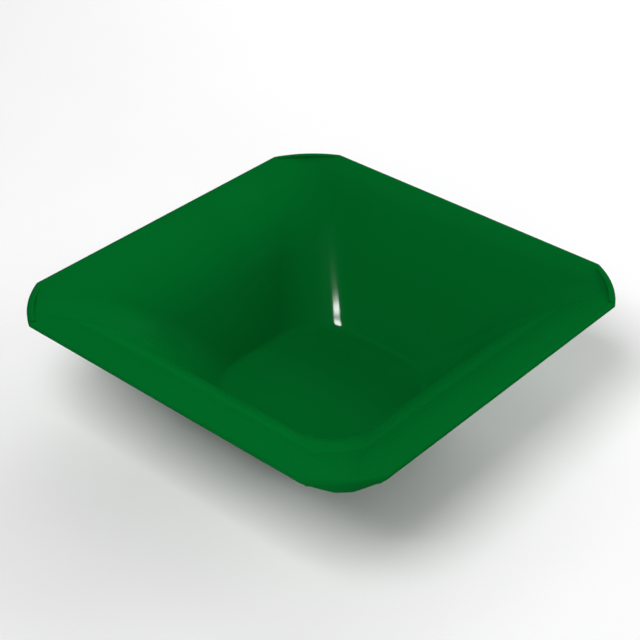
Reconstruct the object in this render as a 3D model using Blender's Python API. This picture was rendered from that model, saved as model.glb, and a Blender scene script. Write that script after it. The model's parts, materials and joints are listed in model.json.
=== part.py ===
"""Square gold pan, moulded in one piece of plastic.

The part is one closed shell: a flat floor, four flared walls that roll over
into a nearly level lip, and four corners trimmed to arcs, each with a narrow
rim level with the edge of the lip. Units are metres and +Z is up. The origin
is the centre of the underside of the floor, on the surface that the pan stands
on.
"""

import math

import bmesh
import bpy
from mathutils import Vector

# Driving dimensions, in metres.
HALF_WIDTH = 0.1524  # centre to each straight side: 12 in across
DEPTH = 0.0762  # lip plane to the floor inside: 3 in
WALL = 0.0040  # thickness of the floor and the walls
LIP_WIDTH = 0.0091  # band inside each straight side, nearly level
LIP_THICKNESS = 0.0069  # lip plane to the flat underside of the lip
LIP_CORNER = 0.0060  # plan radius of the corners where the lip starts to roll
NOSE_RADIUS = 0.0013  # full round along the straight edges of the lip
NOSE_CORNER = 0.0080  # plan radius of the untrimmed corners of the lip
TAPER_WIDTH = 0.0114  # edge of the lip to the end of the taper under it
ROLL_RADIUS = 0.0756  # convex roll from the lip down into the wall
FLOOR_FILLET = 0.0050  # fillet between the wall and the floor
FLOOR_CORNER = 0.0440  # plan radius of the floor's corners
TRIM_CORNER = 0.0825  # plan radius of the arc that trims each corner
TRIM_CENTRE = 0.0791  # offset of that arc's centre, along X and along Y
RIM_WIDTH = 0.0047  # rim along each corner arc
RIM_RISE = 0.0002  # height of the rim above the lip
RIM_ROOT = 0.0035  # how far the rim reaches down into the lip

# Angles, in degrees.
WALL_ANGLE = 57.0  # slope of the straight part of the wall
LIP_TILT = 7.0  # slope of the lip, down into the pan
RIM_HALF_ANGLE = 15.5  # half the arc that each rim covers

# How fast the corners of the rings sharpen from the floor to the lip.
CORNER_EASE = 1.5

# Mesh resolution.
CORNER_STEPS = 12  # edges round each corner of a ring
ROLL_STEPS = 9  # rings along the roll
FILLET_STEPS = 4  # rings along the floor fillet
NOSE_STEPS = 6  # rings along the full round of the edge
TRIM_STEPS = 24  # edges along each arc that trims a corner
RIM_STEPS = 8  # steps along each rim

# Moulded green plastic.
PLASTIC_COLOUR = (0.003, 0.170, 0.032, 1.0)
PLASTIC_ROUGHNESS = 0.22

LIP_HEIGHT = WALL + DEPTH
ROLL_START = HALF_WIDTH - LIP_WIDTH
WALL_SLOPE = math.radians(WALL_ANGLE)
LIP_SLOPE = math.radians(LIP_TILT)
LIP_DROP = (LIP_WIDTH - NOSE_RADIUS) * math.tan(LIP_SLOPE)


def clear_scene():
    """Remove every object that the scene starts with."""
    for scene_object in list(bpy.data.objects):
        bpy.data.objects.remove(scene_object, do_unlink=True)


def inner_profile():
    """Return the inner surface as (half width, height, slope), lip to floor."""
    points = []
    for step in range(ROLL_STEPS + 1):
        slope = LIP_SLOPE + (WALL_SLOPE - LIP_SLOPE) * step / ROLL_STEPS
        half = ROLL_START - ROLL_RADIUS * (math.sin(slope) - math.sin(LIP_SLOPE))
        roll_drop = ROLL_RADIUS * (math.cos(LIP_SLOPE) - math.cos(slope))
        height = LIP_HEIGHT - LIP_DROP - roll_drop
        points.append((half, height, slope))
    wall_top_half, wall_top_height, _ = points[-1]
    wall_run = (wall_top_height - WALL) / math.tan(WALL_SLOPE)
    fillet_centre = wall_top_half - wall_run - FLOOR_FILLET * math.tan(WALL_SLOPE / 2.0)
    for step in range(FILLET_STEPS + 1):
        slope = WALL_SLOPE * (1.0 - step / FILLET_STEPS)
        half = fillet_centre + FLOOR_FILLET * math.sin(slope)
        height = WALL + FLOOR_FILLET * (1.0 - math.cos(slope))
        points.append((half, height, slope))
    return points


def inner_corner(half, floor_half):
    """Return the corner radius of the inner ring of this half width."""
    share = (half - floor_half) / (ROLL_START - floor_half)
    return FLOOR_CORNER + (LIP_CORNER - FLOOR_CORNER) * share**CORNER_EASE


def shell_rings():
    """Return the shell's rings as (half width, corner radius, height).

    They run from the floor inside up the wall, round the edge of the lip, and
    down the outside to the underside of the floor.
    """
    profile = inner_profile()
    floor_half = profile[-1][0]
    rings = []
    for half, height, _ in reversed(profile):
        rings.append((half, inner_corner(half, floor_half), height))
    for step in range(NOSE_STEPS + 1):
        turn = math.pi * step / NOSE_STEPS
        half = HALF_WIDTH - NOSE_RADIUS * (1.0 - math.sin(turn))
        height = LIP_HEIGHT - NOSE_RADIUS * (1.0 - math.cos(turn))
        rings.append((half, NOSE_CORNER, height))
    lip_underside = LIP_HEIGHT - LIP_THICKNESS
    rings.append((HALF_WIDTH - TAPER_WIDTH, NOSE_CORNER, lip_underside))
    for half, height, slope in profile[2:]:
        outset = WALL * math.sin(slope)
        corner = inner_corner(half, floor_half) + outset
        under = min(height - WALL * math.cos(slope), lip_underside)
        rings.append((half + outset, corner, under))
    return rings


def rounded_square(half, corner, height, steps):
    """Return the points of a level square with rounded corners."""
    centre = half - corner
    points = []
    for quarter in range(4):
        for step in range(steps + 1):
            angle = math.pi / 2.0 * step / steps
            x = centre + corner * math.cos(angle)
            y = centre + corner * math.sin(angle)
            for _ in range(quarter):
                x, y = -y, x
            points.append(Vector((x, y, height)))
    return points


def loft(name, rings, steps):
    """Make a closed body through level rounded squares, capped at both ends."""
    bm = bmesh.new()
    loops = []
    for half, corner, height in rings:
        points = rounded_square(half, corner, height, steps)
        loops.append([bm.verts.new(point) for point in points])
    for lower, upper in zip(loops, loops[1:]):
        lower_next = lower[1:] + lower[:1]
        upper_next = upper[1:] + upper[:1]
        for corners in zip(lower, lower_next, upper_next, upper):
            bm.faces.new(corners)
    bm.faces.new(loops[0])
    bm.faces.new(loops[-1])
    return mesh_object(name, bm)


def mesh_object(name, bm):
    """Make an object of this name from the mesh, with its faces out."""
    bmesh.ops.recalc_face_normals(bm, faces=bm.faces)
    mesh = bpy.data.meshes.new(name)
    bm.to_mesh(mesh)
    bm.free()
    made = bpy.data.objects.new(name, mesh)
    bpy.context.scene.collection.objects.link(made)
    return made


def make_corner_rims():
    """Sweep the rim along the arc that trims each corner."""
    bm = bmesh.new()
    sweep = math.radians(2.0 * RIM_HALF_ANGLE)
    up = Vector((0.0, 0.0, 1.0))
    for quarter in range(4):
        diagonal = math.pi / 4.0 + math.pi / 2.0 * quarter
        along = Vector((math.cos(diagonal), math.sin(diagonal), 0.0))
        centre = along * TRIM_CENTRE * math.sqrt(2.0)
        start = diagonal - sweep / 2.0
        out = Vector((math.cos(start), math.sin(start), 0.0))
        outline = []
        for reach, height in (
            (-RIM_WIDTH, -RIM_ROOT),
            (RIM_WIDTH, -RIM_ROOT),
            (RIM_WIDTH, RIM_RISE),
            (-RIM_WIDTH, RIM_RISE),
        ):
            point = centre + out * (TRIM_CORNER + reach) + up * (LIP_HEIGHT + height)
            outline.append(bm.verts.new(point))
        face = bm.faces.new(outline)
        bmesh.ops.spin(
            bm,
            geom=[face],
            cent=centre,
            axis=up,
            angle=sweep,
            steps=RIM_STEPS,
        )
    return mesh_object("corner_rim_guide", bm)


def make_corner_trimmer():
    """Make the upright prism whose rounded corners trim those of the lip."""
    half = TRIM_CENTRE + TRIM_CORNER
    rings = [(half, TRIM_CORNER, -LIP_HEIGHT), (half, TRIM_CORNER, 2.0 * LIP_HEIGHT)]
    return loft("corner_trim_guide", rings, TRIM_STEPS)


def combine(pan, guide, operation):
    """Combine the pan with a guide object, which isn't part of it."""
    guide.hide_render = True
    guide.display_type = "WIRE"
    boolean = pan.modifiers.new(guide.name, "BOOLEAN")
    boolean.operation = operation
    boolean.solver = "EXACT"
    boolean.object = guide


def moulded_plastic():
    """Return the glossy green plastic of the pan."""
    material = bpy.data.materials.new("moulded_green_plastic")
    material.use_nodes = True
    shader = material.node_tree.nodes["Principled BSDF"]
    shader.inputs["Base Color"].default_value = PLASTIC_COLOUR
    shader.inputs["Roughness"].default_value = PLASTIC_ROUGHNESS
    shader.inputs["Metallic"].default_value = 0.0
    return material


def main():
    """Build the pan."""
    clear_scene()
    pan = loft("pan", shell_rings(), CORNER_STEPS)
    combine(pan, make_corner_rims(), "UNION")
    combine(pan, make_corner_trimmer(), "INTERSECT")
    pan.data.materials.append(moulded_plastic())
    pan.data.shade_smooth()
    pan.data.set_sharp_from_angle(angle=math.radians(35.0))


main()
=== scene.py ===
"""Square gold pan: the finished look of its one moulding.

The pan is moulded in one piece of dark green polypropylene: a flat floor, four
flared walls that roll over into a nearly level lip, and four corners trimmed to
arcs, each with a narrow rim level with the edge of the lip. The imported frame
gives its width, its height and the level of its floor; every other size is a
field below. Units are metres and +Z is up.
"""

import json
import logging
import math
from collections.abc import Callable
from dataclasses import dataclass
from enum import Enum

import bmesh
import bpy
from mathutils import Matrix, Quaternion, Vector


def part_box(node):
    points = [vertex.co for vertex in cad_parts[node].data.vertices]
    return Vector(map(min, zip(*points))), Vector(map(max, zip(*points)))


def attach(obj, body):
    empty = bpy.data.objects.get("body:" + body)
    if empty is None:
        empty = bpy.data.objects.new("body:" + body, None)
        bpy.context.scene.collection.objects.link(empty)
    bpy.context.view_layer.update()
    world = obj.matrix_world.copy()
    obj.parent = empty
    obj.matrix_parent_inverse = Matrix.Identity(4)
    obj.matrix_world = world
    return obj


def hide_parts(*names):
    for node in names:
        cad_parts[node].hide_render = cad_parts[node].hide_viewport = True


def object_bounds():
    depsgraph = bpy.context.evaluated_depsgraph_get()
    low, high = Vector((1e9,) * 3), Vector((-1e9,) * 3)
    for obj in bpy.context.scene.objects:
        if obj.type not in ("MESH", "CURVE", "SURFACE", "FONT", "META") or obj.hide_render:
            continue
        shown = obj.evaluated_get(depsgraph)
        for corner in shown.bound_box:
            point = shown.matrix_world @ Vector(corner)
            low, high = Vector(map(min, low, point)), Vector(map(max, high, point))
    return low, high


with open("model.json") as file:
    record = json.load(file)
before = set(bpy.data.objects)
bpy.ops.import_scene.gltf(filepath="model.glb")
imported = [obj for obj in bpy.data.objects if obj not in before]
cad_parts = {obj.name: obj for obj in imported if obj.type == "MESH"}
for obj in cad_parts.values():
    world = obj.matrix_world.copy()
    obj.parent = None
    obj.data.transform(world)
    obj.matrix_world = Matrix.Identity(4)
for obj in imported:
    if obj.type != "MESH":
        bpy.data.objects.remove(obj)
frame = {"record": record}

CAD_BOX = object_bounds()

PAN_NODE = "pan"
PAN_BODY = "root"
FLOOR_MOUNT = "floor_inside"

MM = 0.001
RIM_RISE = 0.2 * MM  # height of the corner rims above the edge of the lip
UP = Vector((0.0, 0.0, 1.0))
QUARTERS = ((1, 1), (-1, 1), (-1, -1), (1, -1))

log = logging.getLogger("gold_pan")


# ---------------------------------------------------------------- small tools


def srgb(code: str) -> tuple[float, float, float, float]:
    """Turn an sRGB hex colour into the linear colour that a shader takes.

    Args:
        code: The colour as "#rrggbb".

    Returns:
        Red, green, blue and alpha, linear.
    """
    channels = [int(code[start : start + 2], 16) / 255.0 for start in (1, 3, 5)]
    linear = [
        value / 12.92 if value <= 0.04045 else ((value + 0.055) / 1.055) ** 2.4
        for value in channels
    ]
    return (linear[0], linear[1], linear[2], 1.0)


def add_node(
    tree: bpy.types.NodeTree,
    kind: str,
    settings: dict[str | int, object] | None = None,
    links: dict[str | int, bpy.types.NodeSocket] | None = None,
) -> bpy.types.Node:
    """Add a node, with its settings and the links into it.

    Args:
        tree: The node tree that the node goes into.
        kind: The node's type name.
        settings: Values by property name, or by the input's name or number.
        links: Output sockets by the name or number of the input each feeds.

    Returns:
        The new node.
    """
    node = tree.nodes.new(kind)
    for name, value in (settings or {}).items():
        if isinstance(name, str) and hasattr(node, name):
            setattr(node, name, value)
        else:
            node.inputs[name].default_value = value
    for name, socket in (links or {}).items():
        tree.links.new(socket, node.inputs[name])
    return node


def use_object(piece: bpy.types.Object) -> None:
    """Select this object alone and make it the active one.

    Args:
        piece: The object that the next operators act on.
    """
    bpy.ops.object.select_all(action="DESELECT")
    piece.select_set(True)
    bpy.context.view_layer.objects.active = piece


def pick_verts(piece: bpy.types.Object, test: Callable[[Vector], bool]) -> None:
    """Select the vertices that lie where the test says, and no others.

    Args:
        piece: The object in edit mode.
        test: Says of a vertex's place whether it is selected.
    """
    bpy.ops.mesh.select_mode(type="VERT")
    bpy.ops.mesh.select_all(action="DESELECT")
    shape = bmesh.from_edit_mesh(piece.data)
    for vert in shape.verts:
        vert.select_set(test(vert.co))
    shape.select_flush_mode()
    bmesh.update_edit_mesh(piece.data)


def pick_edges(
    piece: bpy.types.Object, test: Callable[[bmesh.types.BMEdge], bool]
) -> None:
    """Select the edges that the test picks, and no others.

    Args:
        piece: The object in edit mode.
        test: Says of an edge whether it is selected.
    """
    bpy.ops.mesh.select_mode(type="EDGE")
    bpy.ops.mesh.select_all(action="DESELECT")
    shape = bmesh.from_edit_mesh(piece.data)
    for edge in shape.edges:
        edge.select_set(test(edge))
    shape.select_flush_mode()
    bmesh.update_edit_mesh(piece.data)


class Cut(Enum):
    """How a helper solid changes the piece that it is combined with."""

    JOIN = "UNION"
    TRIM = "INTERSECT"
    REMOVE = "DIFFERENCE"


def combine(piece: bpy.types.Object, helper: bpy.types.Object, cut: Cut) -> None:
    """Combine a piece with a helper solid, and remove the helper.

    Args:
        piece: The piece that is changed.
        helper: The solid that changes it.
        cut: How the two are combined.
    """
    use_object(piece)
    bpy.ops.object.modifier_add(type="BOOLEAN")
    boolean = piece.modifiers[-1]
    boolean.operation = cut.value
    boolean.solver = "EXACT"
    boolean.object = helper
    bpy.ops.object.modifier_apply(modifier=boolean.name)
    bpy.data.objects.remove(helper, do_unlink=True)


# ------------------------------------------------------------------- finishes


@dataclass(frozen=True)
class MouldedPolypropylene:
    """Polypropylene, dyed in the melt and moulded in a polished tool.

    To the eye it is one deep green all through. The tool leaves it smooth and
    glossy, with a very slight waviness. The melt leaves faint streaks that
    run outwards from the gate, and handling dulls the gloss in patches.
    """

    shade: str = "#015f21"
    light: str = "#016425"
    ior: float = 1.49
    specular: float = 0.5
    gloss_best: float = 0.08
    gloss_worst: float = 0.10
    cloud_mm: float = 70.0
    streak_share: float = 0.4
    streaks_per_turn: float = 60.0
    streak_length_mm: float = 120.0
    patch_mm: float = 40.0
    patch_low: float = 0.3
    patch_high: float = 0.7
    wave_mm: float = 9.0
    wave_depth_mm: float = 0.0015
    grain_mm: float = 1.2
    grain_depth_mm: float = 0.0002

    def material(self) -> bpy.types.Material:
        """Make the material, on Object coordinates.

        Returns:
            The material, named for what it is.
        """
        made = bpy.data.materials.new("moulded_polypropylene_green")
        made.use_nodes = True
        tree = made.node_tree
        shader = tree.nodes["Principled BSDF"]
        shader.inputs["Metallic"].default_value = 0.0
        shader.inputs["IOR"].default_value = self.ior
        shader.inputs["Specular IOR Level"].default_value = self.specular
        place = add_node(tree, "ShaderNodeTexCoord").outputs["Object"]
        tree.links.new(self.add_dye(tree, place), shader.inputs["Base Color"])
        tree.links.new(self.add_gloss(tree, place), shader.inputs["Roughness"])
        tree.links.new(self.add_surface(tree, place), shader.inputs["Normal"])
        return made

    def add_dye(
        self, tree: bpy.types.NodeTree, place: bpy.types.NodeSocket
    ) -> bpy.types.NodeSocket:
        """Add the dye's colour, a little clouded and streaked by the melt.

        Args:
            tree: The material's node tree.
            place: The point on the pan, in metres.

        Returns:
            The colour.
        """
        clouds = add_node(
            tree,
            "ShaderNodeTexNoise",
            {"Scale": 1.0 / (self.cloud_mm * MM), "Detail": 2.0},
            {"Vector": place},
        )
        streaks = add_node(
            tree,
            "ShaderNodeTexNoise",
            {"Scale": 1.0, "Detail": 2.0},
            {"Vector": self.add_flow(tree, place)},
        )
        tone = add_node(
            tree,
            "ShaderNodeMix",
            {"data_type": "FLOAT", "Factor": self.streak_share},
            {"A": clouds.outputs["Fac"], "B": streaks.outputs["Fac"]},
        )
        dye = add_node(
            tree,
            "ShaderNodeMix",
            {"data_type": "RGBA", 6: srgb(self.shade), 7: srgb(self.light)},
            {"Factor": tone.outputs["Result"]},
        )
        return dye.outputs[2]

    def add_flow(
        self, tree: bpy.types.NodeTree, place: bpy.types.NodeSocket
    ) -> bpy.types.NodeSocket:
        """Add the melt's own coordinates: round the gate, and away from it.

        Args:
            tree: The material's node tree.
            place: The point on the pan, in metres.

        Returns:
            A vector in which a streak is one unit wide and one unit long.
        """
        level = add_node(
            tree,
            "ShaderNodeVectorMath",
            {"operation": "MULTIPLY", 1: (1.0, 1.0, 0.0)},
            {0: place},
        ).outputs["Vector"]
        heading = add_node(
            tree, "ShaderNodeVectorMath", {"operation": "NORMALIZE"}, {0: level}
        )
        round_gate = add_node(
            tree,
            "ShaderNodeVectorMath",
            {"operation": "SCALE", "Scale": self.streaks_per_turn / math.tau},
            {0: heading.outputs["Vector"]},
        )
        reach = add_node(
            tree, "ShaderNodeVectorMath", {"operation": "LENGTH"}, {0: level}
        )
        from_gate = add_node(
            tree,
            "ShaderNodeMath",
            {"operation": "DIVIDE", 1: self.streak_length_mm * MM},
            {0: reach.outputs["Value"]},
        )
        lift = add_node(
            tree, "ShaderNodeCombineXYZ", links={"Z": from_gate.outputs["Value"]}
        )
        flow = add_node(
            tree,
            "ShaderNodeVectorMath",
            {"operation": "ADD"},
            {0: round_gate.outputs["Vector"], 1: lift.outputs["Vector"]},
        )
        return flow.outputs["Vector"]

    def add_gloss(
        self, tree: bpy.types.NodeTree, place: bpy.types.NodeSocket
    ) -> bpy.types.NodeSocket:
        """Add the roughness, a little higher where hands have dulled it.

        Args:
            tree: The material's node tree.
            place: The point on the pan, in metres.

        Returns:
            The roughness.
        """
        patches = add_node(
            tree,
            "ShaderNodeTexNoise",
            {"Scale": 1.0 / (self.patch_mm * MM), "Detail": 4.0},
            {"Vector": place},
        )
        gloss = add_node(
            tree,
            "ShaderNodeMapRange",
            {
                "From Min": self.patch_low,
                "From Max": self.patch_high,
                "To Min": self.gloss_best,
                "To Max": self.gloss_worst,
            },
            {"Value": patches.outputs["Fac"]},
        )
        return gloss.outputs["Result"]

    def add_surface(
        self, tree: bpy.types.NodeTree, place: bpy.types.NodeSocket
    ) -> bpy.types.NodeSocket:
        """Add the tool's waviness and its polishing grain.

        A polished tool's grain is some hundredths of a millimetre wide, too
        fine to show, so it is drawn about a millimetre wide.

        Args:
            tree: The material's node tree.
            place: The point on the pan, in metres.

        Returns:
            The normal.
        """
        normal = None
        for width_mm, depth_mm in (
            (self.wave_mm, self.wave_depth_mm),
            (self.grain_mm, self.grain_depth_mm),
        ):
            height = add_node(
                tree,
                "ShaderNodeTexNoise",
                {"Scale": 1.0 / (width_mm * MM), "Detail": 1.0},
                {"Vector": place},
            )
            links = {"Height": height.outputs["Fac"]}
            if normal:
                links["Normal"] = normal
            bump = add_node(
                tree, "ShaderNodeBump", {"Strength": 1.0, "Distance": depth_mm * MM}, links
            )
            normal = bump.outputs["Normal"]
        return normal


@dataclass(frozen=True)
class MattPaint:
    """White emulsion, rolled onto a flat board.

    To the eye it is a pale, even white with no gloss and a faint stipple.
    """

    white: str = "#f4f4f4"
    off_white: str = "#f1f1f1"
    roughness: float = 0.9
    patch_mm: float = 90.0
    stipple_mm: float = 2.0
    stipple_depth_mm: float = 0.02

    def material(self) -> bpy.types.Material:
        """Make the material, on Object coordinates.

        Returns:
            The material, named for what it is.
        """
        made = bpy.data.materials.new("matt_white_paint")
        made.use_nodes = True
        tree = made.node_tree
        shader = tree.nodes["Principled BSDF"]
        shader.inputs["Roughness"].default_value = self.roughness
        shader.inputs["Specular IOR Level"].default_value = 0.0
        place = add_node(tree, "ShaderNodeTexCoord").outputs["Object"]
        patches = add_node(
            tree,
            "ShaderNodeTexNoise",
            {"Scale": 1.0 / (self.patch_mm * MM)},
            {"Vector": place},
        )
        paint = add_node(
            tree,
            "ShaderNodeMix",
            {"data_type": "RGBA", 6: srgb(self.off_white), 7: srgb(self.white)},
            {"Factor": patches.outputs["Fac"]},
        )
        stipple = add_node(
            tree,
            "ShaderNodeTexNoise",
            {"Scale": 1.0 / (self.stipple_mm * MM)},
            {"Vector": place},
        )
        bump = add_node(
            tree,
            "ShaderNodeBump",
            {"Distance": self.stipple_depth_mm * MM},
            {"Height": stipple.outputs["Fac"]},
        )
        tree.links.new(paint.outputs[2], shader.inputs["Base Color"])
        tree.links.new(bump.outputs["Normal"], shader.inputs["Normal"])
        return made


# ------------------------------------------------------------------ the piece


@dataclass(frozen=True)
class Ring:
    """A level turn of the moulding's surface: a square with round corners."""

    half: float
    corner: float
    height: float

    @property
    def centre(self) -> float:
        """Give the offset of the corner arcs' centres, along X and Y."""
        return self.half - self.corner


@dataclass
class PanShell:
    """The floor, the flared walls and the lip, as one closed wall.

    The lip slopes a little, down into the pan.
    """

    half_width: float
    lip_height: float
    floor_height: float
    lip_width: float = 0.0091
    lip_thickness: float = 0.0069
    lip_corner: float = 0.0060
    nose_radius: float = 0.0013
    nose_corner: float = 0.0080
    taper_width: float = 0.0114
    lip_slope: float = math.radians(7.0)
    roll_radius: float = 0.0756
    floor_fillet: float = 0.0050
    floor_corner: float = 0.0440
    corner_ease: float = 1.5
    wall_slope: float = math.radians(57.0)
    corner_steps: int = 24
    roll_steps: int = 40
    wall_steps: int = 10
    fillet_steps: int = 12
    nose_steps: int = 16
    foot_band: float = 0.0010

    @property
    def wall(self) -> float:
        """Give the thickness of the wall, which stands on its own floor."""
        return self.floor_height

    @property
    def roll_start(self) -> float:
        """Give the half width at which the lip starts to roll over."""
        return self.half_width - self.lip_width

    def profile(self) -> list[tuple[float, float, float]]:
        """Work out the inner surface, from the lip down to the floor.

        Returns:
            Half width, height and slope at each step.
        """
        points = []
        lip_run = self.lip_width - self.nose_radius
        lip_foot = self.lip_height - lip_run * math.tan(self.lip_slope)
        for step in range(self.roll_steps + 1):
            share = step / self.roll_steps
            slope = self.lip_slope + (self.wall_slope - self.lip_slope) * share
            run = self.roll_radius * (math.sin(slope) - math.sin(self.lip_slope))
            drop = self.roll_radius * (math.cos(self.lip_slope) - math.cos(slope))
            points.append((self.roll_start - run, lip_foot - drop, slope))
        top_half, top_height, _ = points[-1]
        run = (top_height - self.floor_height) / math.tan(self.wall_slope)
        tangent = self.floor_fillet * math.tan(self.wall_slope / 2.0)
        fillet_centre = top_half - run - tangent
        fillet_half = fillet_centre + self.floor_fillet * math.sin(self.wall_slope)
        drop = self.floor_fillet * (1.0 - math.cos(self.wall_slope))
        fillet_height = self.floor_height + drop
        for step in range(1, self.wall_steps):
            share = step / self.wall_steps
            half = top_half + (fillet_half - top_half) * share
            height = top_height + (fillet_height - top_height) * share
            points.append((half, height, self.wall_slope))
        for step in range(self.fillet_steps + 1):
            slope = self.wall_slope * (1.0 - step / self.fillet_steps)
            half = fillet_centre + self.floor_fillet * math.sin(slope)
            height = self.floor_height + self.floor_fillet * (1.0 - math.cos(slope))
            points.append((half, height, slope))
        return points

    def corner_at(self, half: float, floor_half: float) -> float:
        """Work out how round the corners are at a half width.

        Args:
            half: The half width of the inner ring.
            floor_half: The half width of the flat floor.

        Returns:
            The plan radius of that ring's corners.
        """
        share = (half - floor_half) / (self.roll_start - floor_half)
        change = self.lip_corner - self.floor_corner
        return self.floor_corner + change * share**self.corner_ease

    def rings(self) -> list[Ring]:
        """List the rings from the underside, up the outside, and down inside.

        Returns:
            The rings in the order in which the wall grows.
        """
        profile = self.profile()
        floor_half = profile[-1][0]
        underside = self.lip_height - self.lip_thickness
        turns = []
        for half, height, slope in reversed(profile):
            outset = self.wall * math.sin(slope)
            under = height - self.wall * math.cos(slope)
            if under < underside:
                corner = self.corner_at(half, floor_half) + outset
                turns.append(Ring(half + outset, corner, under))
        taper_half = self.half_width - self.taper_width
        turns.append(Ring(taper_half, self.nose_corner, underside))
        for step in range(self.nose_steps + 1):
            turn = math.pi * (1.0 - step / self.nose_steps)
            inset = self.nose_radius * (1.0 - math.sin(turn))
            drop = self.nose_radius * (1.0 - math.cos(turn))
            turns.append(
                Ring(self.half_width - inset, self.nose_corner, self.lip_height - drop)
            )
        for half, height, _ in profile:
            turns.append(Ring(half, self.corner_at(half, floor_half), height))
        return turns

    def build(self) -> bpy.types.Object:
        """Grow the wall from its underside, one extrusion for each ring.

        Returns:
            The shell, closed.
        """
        rings = self.rings()
        first = rings[0]
        bpy.ops.object.select_all(action="DESELECT")
        bpy.ops.mesh.primitive_plane_add(
            size=2.0 * first.half, location=(0.0, 0.0, first.height)
        )
        shell = bpy.context.object
        shell.name = "pan_moulding"
        bpy.ops.object.transform_apply(location=True, rotation=True, scale=True)
        bpy.ops.object.mode_set(mode="EDIT")
        bpy.ops.mesh.select_mode(type="VERT")
        bpy.ops.mesh.select_all(action="SELECT")
        bpy.ops.mesh.bevel(
            offset=first.corner, segments=self.corner_steps, affect="VERTICES"
        )
        bpy.ops.mesh.select_all(action="SELECT")
        for old, new in zip(rings, rings[1:]):
            self.grow(shell, old, new)
        bpy.ops.mesh.inset(thickness=self.foot_band)
        bpy.ops.mesh.select_all(action="SELECT")
        bpy.ops.mesh.normals_make_consistent(inside=False)
        bpy.ops.object.mode_set(mode="OBJECT")
        return shell

    @staticmethod
    def grow(shell: bpy.types.Object, old: Ring, new: Ring) -> None:
        """Extrude the open end of the wall from one ring to the next.

        Args:
            shell: The shell in edit mode, with its last face selected.
            old: The ring that the selected face fills.
            new: The ring that it fills afterwards.
        """
        rise = (0.0, 0.0, new.height - old.height)
        bpy.ops.mesh.extrude_region_move(TRANSFORM_OT_translate={"value": rise})
        shape = bmesh.from_edit_mesh(shell.data)
        end = [vert for vert in shape.verts if vert.select]
        shrink = new.corner / old.corner
        move = new.centre - old.centre
        for x_side, y_side in QUARTERS:
            for vert in end:
                vert.select_set(vert.co.x * x_side > 0.0 and vert.co.y * y_side > 0.0)
            arc_centre = (x_side * old.centre, y_side * old.centre, new.height)
            bpy.ops.transform.resize(
                value=(shrink, shrink, 1.0), center_override=arc_centre
            )
            bpy.ops.transform.translate(value=(x_side * move, y_side * move, 0.0))
        for vert in end:
            vert.select_set(True)
        shape.select_flush_mode()


@dataclass
class CornerRims:
    """The narrow rim along each corner arc, level with the edge of the lip."""

    lip_height: float
    rise: float
    arc_radius: float
    arc_centre: float
    width: float = 0.0047
    root: float = 0.0035
    half_angle: float = math.radians(15.5)
    edge_round: float = 0.0003
    edge_steps: int = 3
    sweep_steps: int = 48

    def build(self) -> bpy.types.Object:
        """Spin one rim round its arc's centre, and turn copies of it.

        Returns:
            The four rims, as one helper solid.
        """
        start = math.pi / 4.0 + self.half_angle  # a spin turns clockwise
        centre = Vector((self.arc_centre, self.arc_centre, self.lip_height))
        outward = Vector((math.cos(start), math.sin(start), 0.0))
        depth = self.root + self.rise
        middle = centre + outward * self.arc_radius + UP * (self.rise - depth / 2.0)
        bpy.ops.object.select_all(action="DESELECT")
        bpy.ops.mesh.primitive_plane_add(
            size=1.0, location=middle, rotation=(math.pi / 2.0, 0.0, start)
        )
        rims = bpy.context.object
        rims.scale = (2.0 * self.width, depth, 1.0)
        bpy.ops.object.transform_apply(location=True, rotation=True, scale=True)
        bpy.ops.object.mode_set(mode="EDIT")
        inner = self.arc_radius - self.width / 2.0
        pick_verts(
            rims,
            lambda place: place.z > middle.z and (place - centre).to_2d().length < inner,
        )
        bpy.ops.mesh.bevel(
            offset=self.edge_round, segments=self.edge_steps, affect="VERTICES"
        )
        bpy.ops.mesh.select_all(action="SELECT")
        bpy.ops.mesh.spin(
            steps=self.sweep_steps,
            angle=2.0 * self.half_angle,
            center=centre,
            axis=UP,
        )
        bpy.ops.mesh.select_all(action="SELECT")
        for _ in QUARTERS[1:]:
            bpy.ops.mesh.duplicate()
            bpy.ops.transform.rotate(
                value=math.pi / 2.0, orient_axis="Z", center_override=(0.0, 0.0, 0.0)
            )
        bpy.ops.mesh.select_all(action="SELECT")
        bpy.ops.mesh.normals_make_consistent(inside=False)
        bpy.ops.object.mode_set(mode="OBJECT")
        return rims


@dataclass
class CornerTrim:
    """The upright block whose round corners trim those of the lip."""

    lip_height: float
    rim_top: float
    arc_radius: float
    arc_centre: float
    top_round: float = 0.0020
    top_steps: int = 8
    clearance: float = 0.00005
    level_tolerance: float = 0.00001
    arc_steps: int = 96

    def build(self) -> bpy.types.Object:
        """Round a block's upright edges, and then the edge of its top.

        Returns:
            The block, as a helper solid.
        """
        half = self.arc_centre + self.arc_radius
        top = self.rim_top + self.clearance
        bottom = -self.lip_height
        bpy.ops.object.select_all(action="DESELECT")
        bpy.ops.mesh.primitive_cube_add(
            size=1.0, location=(0.0, 0.0, (top + bottom) / 2.0)
        )
        block = bpy.context.object
        block.scale = (2.0 * half, 2.0 * half, top - bottom)
        bpy.ops.object.transform_apply(location=True, rotation=True, scale=True)
        bpy.ops.object.mode_set(mode="EDIT")
        pick_edges(block, lambda edge: edge.verts[0].co.z * edge.verts[1].co.z < 0.0)
        bpy.ops.mesh.bevel(
            offset=self.arc_radius, segments=self.arc_steps, affect="EDGES"
        )
        pick_edges(
            block,
            lambda edge: min(vert.co.z for vert in edge.verts) > top - self.level_tolerance,
        )
        bpy.ops.mesh.bevel(
            offset=self.top_round, segments=self.top_steps, affect="EDGES"
        )
        bpy.ops.mesh.select_all(action="SELECT")
        bpy.ops.mesh.normals_make_consistent(inside=False)
        bpy.ops.object.mode_set(mode="OBJECT")
        return block


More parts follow.
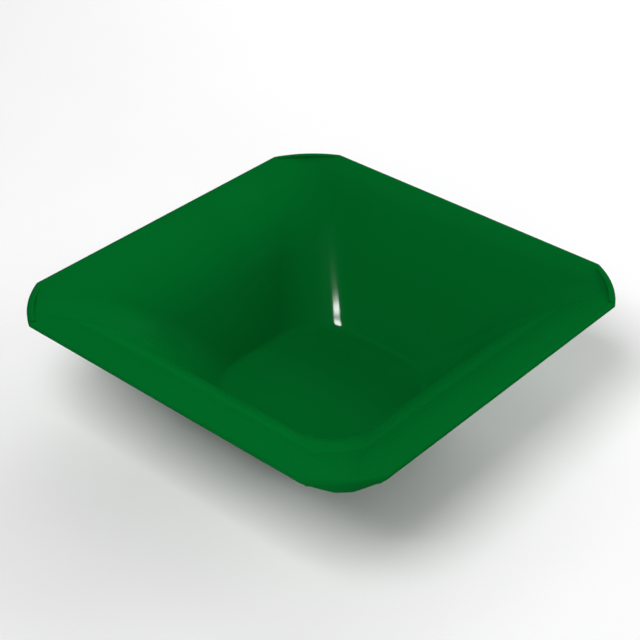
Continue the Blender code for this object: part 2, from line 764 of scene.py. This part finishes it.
@dataclass
class GateMark:
    """The shallow dimple under the floor where the plastic came in."""

    radius: float = 0.0070
    depth: float = 0.0006
    slope: float = 0.0008
    stub_radius: float = 0.0014
    stub_height: float = 0.0004
    stub_flare: float = 0.0002
    sides: int = 64

    def dimple(self) -> bpy.types.Object:
        """Make the round, bevelled solid that is cut from the underside.

        Returns:
            The dimple, as a helper solid.
        """
        return self.disc(self.radius, -self.depth, self.depth, self.slope)

    def stub(self) -> bpy.types.Object:
        """Make the trimmed stub of the gate, inside the dimple.

        Returns:
            The stub, as a helper solid.
        """
        foot = 2.0 * self.depth
        return self.disc(
            self.stub_radius, self.depth - self.stub_height, foot, -self.stub_flare
        )

    def disc(
        self, radius: float, bottom: float, top: float, narrowing: float
    ) -> bpy.types.Object:
        """Make a disc whose upper end is narrower or wider than its lower end.

        Args:
            radius: The radius of the lower end.
            bottom: The height of the lower end.
            top: The height of the upper end.
            narrowing: How much smaller the radius of the upper end is.

        Returns:
            The disc.
        """
        bpy.ops.object.select_all(action="DESELECT")
        bpy.ops.mesh.primitive_cylinder_add(
            vertices=self.sides,
            radius=radius,
            depth=top - bottom,
            location=(0.0, 0.0, (top + bottom) / 2.0),
        )
        disc = bpy.context.object
        bpy.ops.object.transform_apply(location=True, rotation=True, scale=True)
        bpy.ops.object.mode_set(mode="EDIT")
        middle = (top + bottom) / 2.0
        pick_verts(disc, lambda place: place.z > middle)
        share = (radius - narrowing) / radius
        bpy.ops.transform.resize(
            value=(share, share, 1.0), center_override=(0.0, 0.0, top)
        )
        bpy.ops.object.mode_set(mode="OBJECT")
        return disc


@dataclass
class GoldPan:
    """The pan: one moulding with rims at its trimmed corners."""

    finish: MouldedPolypropylene
    arc_radius: float = 0.0825
    arc_centre: float = 0.0791
    under_round: float = 0.0005
    under_steps: int = 3
    smooth_angle: float = math.radians(24.0)
    arc_tolerance: float = 0.00005
    looks_down: float = -0.3
    nearly_upright: float = 0.1

    def build(self) -> bpy.types.Object:
        """Build the moulding from its shell, rims, trim and gate mark.

        Returns:
            The finished piece.
        """
        low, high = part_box(PAN_NODE)
        floor_height = mount_height(FLOOR_MOUNT)
        lip_height = high.z - RIM_RISE
        shell = PanShell(high.x, lip_height, floor_height - low.z)
        rims = CornerRims(lip_height, RIM_RISE, self.arc_radius, self.arc_centre)
        trim = CornerTrim(lip_height, high.z, self.arc_radius, self.arc_centre)
        gate = GateMark()
        pan = shell.build()
        combine(pan, rims.build(), Cut.JOIN)
        combine(pan, trim.build(), Cut.TRIM)
        combine(pan, gate.dimple(), Cut.REMOVE)
        combine(pan, gate.stub(), Cut.JOIN)
        self.round_under_corners(pan)
        self.dress(pan)
        return pan

    def round_under_corners(self, pan: bpy.types.Object) -> None:
        """Round the lower edge of each corner's outer face.

        Args:
            pan: The trimmed pan.
        """
        use_object(pan)
        bpy.ops.object.mode_set(mode="EDIT")
        pick_edges(pan, self.is_under_corner)
        bpy.ops.mesh.bevel(
            offset=self.under_round,
            segments=self.under_steps,
            affect="EDGES",
            clamp_overlap=True,
        )
        bpy.ops.object.mode_set(mode="OBJECT")

    def is_under_corner(self, edge: bmesh.types.BMEdge) -> bool:
        """Tell whether an edge is on the lower edge of a corner's face.

        Args:
            edge: An edge of the trimmed pan.

        Returns:
            True if one of its faces is upright, and the other looks down.
        """
        for vert in edge.verts:
            across = Vector((abs(vert.co.x), abs(vert.co.y)))
            reach = (across - Vector((self.arc_centre, self.arc_centre))).length
            if abs(reach - self.arc_radius) > self.arc_tolerance:
                return False
        if len(edge.link_faces) != 2:
            return False
        tilts = sorted(face.normal.z for face in edge.link_faces)
        return tilts[0] < self.looks_down and abs(tilts[1]) < self.nearly_upright

    def dress(self, pan: bpy.types.Object) -> None:
        """Smooth the surface and give it its finish.

        Args:
            pan: The pan, in its final shape.
        """
        use_object(pan)
        pan.data.materials.clear()
        pan.data.materials.append(self.finish.material())
        bpy.ops.object.shade_smooth_by_angle(angle=self.smooth_angle)


def mount_height(name: str) -> float:
    """Find the height of one of the pan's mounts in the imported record.

    Args:
        name: The mount's name.

    Returns:
        Its height in metres.
    """
    mounts = frame["record"]["mounts"]
    return next(mount["pos_m"][2] for mount in mounts if mount["name"] == name)


# ------------------------------------------------------------------ the studio


@dataclass
class StudioFloor:
    """A wide, pale board that the pan stands on."""

    finish: MattPaint
    size: float = 6.0

    def build(self) -> bpy.types.Object:
        """Lay the board level with the pan's underside.

        Returns:
            The board.
        """
        low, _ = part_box(PAN_NODE)
        bpy.ops.object.select_all(action="DESELECT")
        bpy.ops.mesh.primitive_plane_add(size=self.size, location=(0.0, 0.0, low.z))
        board = bpy.context.object
        board.name = "studio_floor"
        board.visible_glossy = False
        board.data.materials.append(self.finish.material())
        return board


@dataclass(frozen=True)
class Softbox:
    """A flat, even light that hangs over the pan and looks at it."""

    name: str
    azimuth: float
    elevation: float
    power: float
    width: float = 1.26
    height: float = 1.26
    distance: float = 2.0
    roll: float = 0.0
    seen_in_gloss: bool = False

    def build(self, aim: Vector) -> bpy.types.Object:
        """Hang the light and turn it to the pan.

        Args:
            aim: The point that the light looks at.

        Returns:
            The light.
        """
        toward = direction(self.azimuth, self.elevation)
        bpy.ops.object.select_all(action="DESELECT")
        bpy.ops.object.light_add(type="AREA", location=aim + toward * self.distance)
        lamp = bpy.context.object
        lamp.name = self.name
        roll = Quaternion((0.0, 0.0, 1.0), math.radians(self.roll))
        lamp.rotation_euler = (toward.to_track_quat("Z", "Y") @ roll).to_euler()
        lamp.data.shape = "RECTANGLE"
        lamp.data.size = self.width
        lamp.data.size_y = self.height
        lamp.data.energy = self.power
        lamp.visible_camera = False
        lamp.visible_glossy = self.seen_in_gloss
        return lamp


def direction(azimuth: float, elevation: float) -> Vector:
    """Give the direction from the pan to something that stands round it.

    Args:
        azimuth: Degrees round the pan: 0 is on its -Y side, 90 on its +X side.
        elevation: Degrees above the horizon.

    Returns:
        The direction, of length 1.
    """
    turn = math.radians(azimuth)
    tilt = math.radians(elevation)
    level = math.cos(tilt)
    return Vector((math.sin(turn) * level, -math.cos(turn) * level, math.sin(tilt)))


@dataclass
class Studio:
    """Soft light: one high in front, two low behind, two fills and a glint.

    The room is a pale backdrop that only the camera sees, so the lights alone
    light the pan. The plastic reflects the glint and none of the others.
    """

    room_colour: str = "#ffffff"
    room_strength: float = 0.95
    lights: tuple[Softbox, ...] = (
        Softbox("top_light", azimuth=0.0, elevation=60.0, power=26.0),
        Softbox("back_light_right", azimuth=150.0, elevation=15.0, power=26.0),
        Softbox("back_light_left", azimuth=190.0, elevation=15.0, power=32.0),
        Softbox("side_light", azimuth=225.0, elevation=38.0, power=7.0),
        Softbox("front_fill", azimuth=20.0, elevation=35.0, power=12.0, width=1.8, height=1.8),
        Softbox(
            "glint_light",
            azimuth=2.2,
            elevation=48.5,
            power=1.4,
            width=0.32,
            height=0.03,
            roll=30.0,
            seen_in_gloss=True,
        ),
    )

    def build(self) -> None:
        """Make the room and hang the lights."""
        scene = bpy.context.scene
        scene.view_settings.view_transform = "Standard"
        world = bpy.data.worlds.new("pale_room")
        scene.world = world
        world.use_nodes = True
        world.cycles_visibility.diffuse = False
        world.cycles_visibility.glossy = False
        room = world.node_tree.nodes["Background"]
        room.inputs["Color"].default_value = srgb(self.room_colour)
        room.inputs["Strength"].default_value = self.room_strength
        low, high = CAD_BOX
        for light in self.lights:
            light.build((low + high) / 2.0)


@dataclass
class StudioCamera:
    """A camera that looks down across one corner of the pan.

    Its distance and its offsets are in half widths of the pan.
    """

    azimuth: float = 41.52245
    elevation: float = 34.37778
    distance: float = 7.071739
    right_offset: float = 0.01150376
    up_offset: float = 0.1152208
    lens: float = 91.587
    sensor: float = 36.0

    def build(self) -> bpy.types.Object:
        """Place the camera and make it the scene's own.

        Returns:
            The camera.
        """
        low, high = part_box(PAN_NODE)
        centre = Vector((0.0, 0.0, high.z - RIM_RISE))
        back = direction(self.azimuth, self.elevation)
        turn = math.radians(self.azimuth)
        right = Vector((math.cos(turn), math.sin(turn), 0.0))
        up = back.cross(right)
        offset = back * self.distance - right * self.right_offset - up * self.up_offset
        bpy.ops.object.select_all(action="DESELECT")
        bpy.ops.object.camera_add(
            location=centre + offset * high.x,
            rotation=(math.pi / 2.0 - math.radians(self.elevation), 0.0, turn),
        )
        camera = bpy.context.object
        camera.name = "studio_camera"
        camera.data.sensor_width = self.sensor
        camera.data.lens = self.lens
        bpy.context.scene.camera = camera
        return camera


# ---------------------------------------------------------------------- build


def main() -> None:
    """Build the pan and the studio round it, and report each piece."""
    logging.basicConfig(level=logging.INFO, format="%(name)s: %(message)s")
    StudioCamera().build()
    pan = GoldPan(MouldedPolypropylene()).build()
    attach(pan, PAN_BODY)
    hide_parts(PAN_NODE)
    log.info("%s: %d faces", pan.name, len(pan.data.polygons))
    board = StudioFloor(MattPaint()).build()
    log.info("%s: %.0f m square", board.name, board.dimensions.x)
    Studio().build()


if __name__ == "__main__":
    main()
